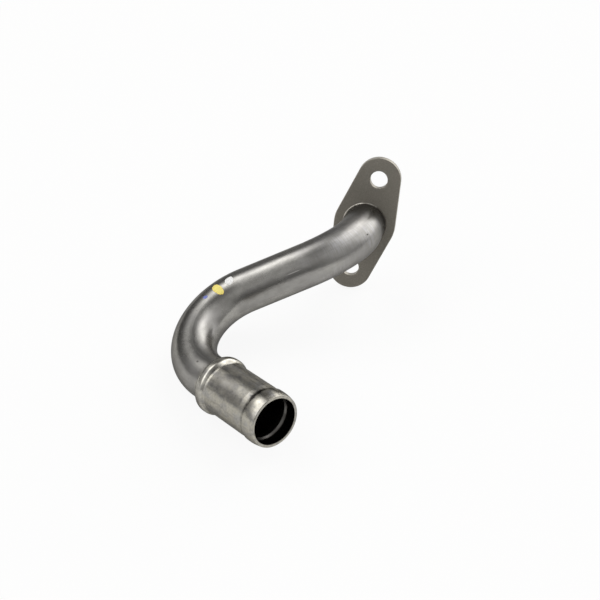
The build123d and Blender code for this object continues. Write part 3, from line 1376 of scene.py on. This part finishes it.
@dataclass(frozen=True)
class PaintDab:
    """A dab of marker paint on the second bend.

    Attributes:
        node: The CAD node that it stands for.
        slot: Its material slot's name; not used.
        paint: Its paint.
        round_bend: Degrees round the bend, from its start.
        round_tube: Degrees round the tube, from the outside of the bend.
        along: Its size along the tube.
        across: Its size round the tube.
        raggedness: How far its outline comes and goes, as a share of its size.
        seed: Picks the outline.
        waves: How often the outline comes and goes.
        fine_waves: How much more often its fine notches do.
        coarse_share: How deep the waves are.
        fine_share: How deep the notches are.
        film: Thickness of the paint.
        rim: Its thickness at the rim, as a share of that.
        sunk: How far its foot stands under the tube's skin.
        around: Facets round the dab.
        rings: Rings of facets in it.
        sharp: Edges that turn by more than this many degrees stay sharp.
    """

    node: str
    slot: str
    paint: MarkerPaint
    round_bend: float
    round_tube: float
    along: float
    across: float
    raggedness: float
    seed: float
    waves: float = 1.6
    fine_waves: float = 3.1
    coarse_share: float = 1.5
    fine_share: float = 0.7
    film: float = 0.1
    rim: float = 0.25
    sunk: float = 0.05
    around: int = 72
    rings: int = 7
    sharp: float = 60.0

    def outline(self, angle: float) -> float:
        """Works out the dab's ragged outline.

        Args:
            angle: Radians round the dab.

        Returns:
            How far the outline reaches there, as a share of the oval.
        """
        round_dab = Vector((math.cos(angle), math.sin(angle), 0.0)) * self.waves
        spot = round_dab + UP * self.seed
        coarse, fine = noise.noise(spot), noise.noise(spot * self.fine_waves)
        return 1 + self.raggedness * (self.coarse_share * coarse + self.fine_share * fine)

    def build(self, line: CentreLine, tube_radius: float) -> Piece:
        """Builds the dab on the tube's skin.

        Args:
            line: The tube's centre line.
            tube_radius: The tube's outside radius.

        Returns:
            The dab's object.
        """
        bm = bmesh.new()
        layer = bm.verts.layers.float.new(FILM)
        bmesh.ops.create_circle(bm, cap_ends=True, segments=self.around, radius=1.0)
        cap = list(bm.faces)
        for _ in range(self.rings):
            inner = bmesh.ops.inset_region(
                bm, faces=cap, thickness=1 / (self.rings + 1), use_boundary=True)["faces"]
            whole = [face for face in bm.faces if len(face.verts) == self.around]
            cap = [face for face in whole if face not in inner]
        bmesh.ops.poke(bm, faces=cap)
        top = set(bm.verts)
        rim = [edge for edge in bm.edges if edge.is_boundary]
        skirt = bmesh.ops.extrude_edge_only(bm, edges=rim)["geom"]
        foot = [item for item in skirt if isinstance(item, bmesh.types.BMEdge) and item.is_boundary]
        bmesh.ops.contextual_create(bm, geom=foot)
        start = math.radians(self.round_bend) * line.bend_radius
        middle = math.radians(self.round_tube)
        for vert in bm.verts:
            share = min(vert.co.length, 1.0)
            reach = self.outline(math.atan2(vert.co.y, vert.co.x))
            along = start + vert.co.x * reach * self.along / 2
            round_tube = middle + vert.co.y * reach * self.across / 2 / tube_radius
            thickness = math.sqrt(max(1 - share ** 4, 0.0))
            vert[layer] = thickness
            swell = self.rim + (1 - self.rim) * thickness
            over = self.film * swell if vert in top else -self.sunk
            vert.co = line.on_skin(SECOND_BEND, along, round_tube, tube_radius + over) * MM
        name = self.paint.name + "_dab"
        return finish_piece(bm, name, self.paint.build(), self.sharp, self.node)


@dataclass
class PaintMarks:
    """The three dabs of marker paint that say the line has been checked.

    Attributes:
        dabs: The dabs.
    """

    dabs: tuple[PaintDab, ...] = (
        PaintDab(
            "white_paint_mark", "white_paint",
            MarkerPaint("white_marker_paint", "#FDFCFA", "#F4F2EC"), round_bend=9.5,
            round_tube=97.0, along=3.4, across=3.8, raggedness=0.14, seed=3.7),
        PaintDab(
            "yellow_paint_mark", "yellow_paint",
            MarkerPaint("yellow_marker_paint", "#FFEE84", "#FCDA66"), round_bend=22.6,
            round_tube=101.0, along=3.4, across=5.4, raggedness=0.12, seed=8.2),
        PaintDab(
            "blue_paint_mark", "blue_paint",
            MarkerPaint("blue_marker_paint", "#7C86CC", "#888DB2"), round_bend=35.5,
            round_tube=94.0, along=1.8, across=1.5, raggedness=0.16, seed=1.4, film=0.05),
    )

    def build(self, line: CentreLine, tube_radius: float) -> None:
        """Builds every dab."""
        for dab in self.dabs:
            dab.build(line, tube_radius)


@dataclass(frozen=True)
class Glow:
    """A soft bright patch of the room, such as a window or a softbox.

    Attributes:
        bearing: Degrees from +Y towards +X.
        height: Degrees above the floor.
        tightness: How quickly it fades; 32 halves it at 12 degrees from its middle, 11.5 at 20.
        radiance: How bright its middle is.
    """

    bearing: float
    height: float
    tightness: float
    radiance: float

    def way(self) -> Vector:
        """Works out where it is.

        Returns:
            The direction of its middle.
        """
        bearing, height = math.radians(self.bearing), math.radians(self.height)
        level = Vector((math.sin(bearing), math.cos(bearing), 0.0))
        return level * math.cos(height) + UP * math.sin(height)

    def add(self, tree: Tree, way: Socket, light: Socket | float) -> Socket:
        """Adds its light to the room's.

        Args:
            tree: The world's node tree.
            way: The direction that the world is seen in.
            light: The light of the patches before it.

        Returns:
            The light with its own.
        """
        towards = add_node(tree, "VectorMath", (way, self.way()), "Value", operation="DOT_PRODUCT")
        fade = sum_of(tree, -self.tightness, (towards, self.tightness))
        fade = add_node(tree, "Math", (fade,), operation="EXPONENT")
        return sum_of(tree, light, (fade, self.radiance))


@dataclass
class Studio:
    """A pale floor in a room whose windows and softboxes the steel mirrors.

    Attributes:
        floor_side: Side of the square floor, in metres.
        floor_colour: The floor as the room lights it.
        floor_roughness: How matt it is.
        floor_white: How much of plain white the camera sees in the floor.
        mirrored_white: The same for steel that mirrors it, less so that its shadow shows there.
        level: Brightness of the whole room.
        glows: Its bright patches.
    """

    floor_side: float = 6.0
    floor_colour: str = "#F4F4F2"
    floor_roughness: float = 0.8
    floor_white: float = 0.9
    mirrored_white: float = 0.35
    level: float = 0.95
    glows: tuple[Glow, ...] = (
        Glow(-112, 43, 24, 2.3),
        Glow(-132, 30, 32, 0.85),
        Glow(-78, 50, 20, 1.05),
        Glow(-66, 52, 34, 2.7),
        Glow(24, 12, 20, 2.7),
        Glow(48, 14, 20, 1.4),
        Glow(13, 32, 32, 2.2),
        Glow(28, 57, 34, 3.0),
        Glow(66, 56, 20, 1.0),
        Glow(66, 30, 14, 0.6),
        Glow(-130, 18, 9, 0.8),
        Glow(-90, 12, 20, 0.25),
        Glow(-25, 12, 20, 0.35),
        Glow(110, 18, 8, 0.45),
        Glow(100, 50, 11.5, 0.3),
        Glow(174, 44, 8, 0.55),
    )

    def build_floor(self) -> None:
        """Lays the floor, which shows white to camera and mirror rays but keeps a faint shadow."""
        bm = bmesh.new()
        bmesh.ops.create_grid(bm, x_segments=1, y_segments=1, size=self.floor_side / 2)
        mesh = bpy.data.meshes.new("floor")
        bm.to_mesh(mesh)
        bm.free()
        material, tree, shader = new_material("pale_floor")
        feed(shader, {
            "Base Color": linear(self.floor_colour),
            "Roughness": self.floor_roughness,
            "Specular IOR Level": 0.0,
        })
        amount = 0.0
        for ray, share in (
                ("Is Camera Ray", self.floor_white),
                ("Is Glossy Ray", self.mirrored_white),
                ("Is Transmission Ray", self.mirrored_white)):
            seen = add_node(tree, "LightPath", (), ray)
            seen = add_node(tree, "Math", (seen, share), operation="MULTIPLY")
            amount = add_node(tree, "Math", (amount, seen), operation="MAXIMUM")
        white = add_node(tree, "Emission", {"Color": WHITE, "Strength": 1.0})
        surface = add_node(tree, "MixShader", (amount, shader.outputs["BSDF"], white))
        feed(tree.nodes["Material Output"], {"Surface": surface})
        mesh.materials.append(material)
        floor = bpy.data.objects.new("floor", mesh)
        bpy.context.scene.collection.objects.link(floor)

    def build_room(self) -> None:
        """Gives the world the room's bright patches."""
        world = bpy.data.worlds.new("room")
        bpy.context.scene.world = world
        world.use_nodes = True
        tree = world.node_tree
        way = add_node(tree, "TexCoord", (), "Generated")
        light = 0.0
        for glow in self.glows:
            light = glow.add(tree, way, light)
        strength = add_node(tree, "Math", (light, self.level), operation="MULTIPLY")
        feed(tree.nodes["Background"], {"Color": WHITE, "Strength": strength})

    def build(self) -> None:
        """Builds the floor and the room."""
        self.build_floor()
        self.build_room()
        LOG.info("studio: floor and %d bright patches", len(self.glows))


@dataclass
class PhotoCamera:
    """The camera of the photograph, in the row frame.

    Attributes:
        place: Where it stands.
        forward: The direction it looks in.
        right: The direction to the right in its picture.
        lens: Focal length on the sensor's width.
        sensor: Width of the sensor.
    """

    place: tuple[float, float, float] = (61.71, -363.14, 288.17)
    forward: tuple[float, float, float] = (-0.1191, 0.80256, -0.58456)
    right: tuple[float, float, float] = (0.97954, 0.19116, 0.06288)
    lens: float = 78.0
    sensor: float = 36.0

    def build(self) -> None:
        """Makes the camera and gives it to the scene."""
        data = bpy.data.cameras.new("photo_camera")
        data.lens = self.lens
        data.sensor_width = self.sensor
        camera = bpy.data.objects.new("photo_camera", data)
        forward = Vector(self.forward).normalized()
        right = Vector(self.right).normalized()
        up = right.cross(forward)
        turn = Matrix((right, up, -forward)).transposed()
        camera.matrix_world = Matrix.Translation(Vector(self.place) * MM) @ turn.to_4x4()
        bpy.context.scene.collection.objects.link(camera)
        bpy.context.scene.camera = camera


def centre_line_from(record: dict) -> CentreLine:
    """Lays the centre line between the port and the mouth that the record's mounts give.

    Args:
        record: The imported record.

    Returns:
        The tube's centre line.
    """
    plate_thickness = 3.0
    seat_middle_from_mouth = 17.3
    mounts = {mount["name"]: mount for mount in record["mounts"]}
    bolts, seat = mounts["turbo_bolts"], mounts["hose_seat"]
    port_axis = -Vector(bolts["axis"]).normalized()
    hose_axis = Vector(seat["axis"]).normalized()
    port = Vector(bolts["pos_m"]) / MM + port_axis * plate_thickness
    mouth = Vector(seat["pos_m"]) / MM + hose_axis * seat_middle_from_mouth
    return CentreLine(port, port_axis, mouth, hose_axis)


def main() -> None:
    """Builds the dressed line, its studio and its camera in order."""
    logging.basicConfig(level=logging.INFO)
    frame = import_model()
    line = centre_line_from(frame["record"])
    tube = OilTube(line)
    tube.build()
    FlangePlate(line).dress(frame["nodes"]["flange_plate"])
    BrazedJoint(line).build()
    PaintMarks().build(line, tube.outside / 2)
    Studio().build()
    PhotoCamera().build()
    bpy.context.scene.view_settings.view_transform = "Standard"


if __name__ == "__main__":
    main()
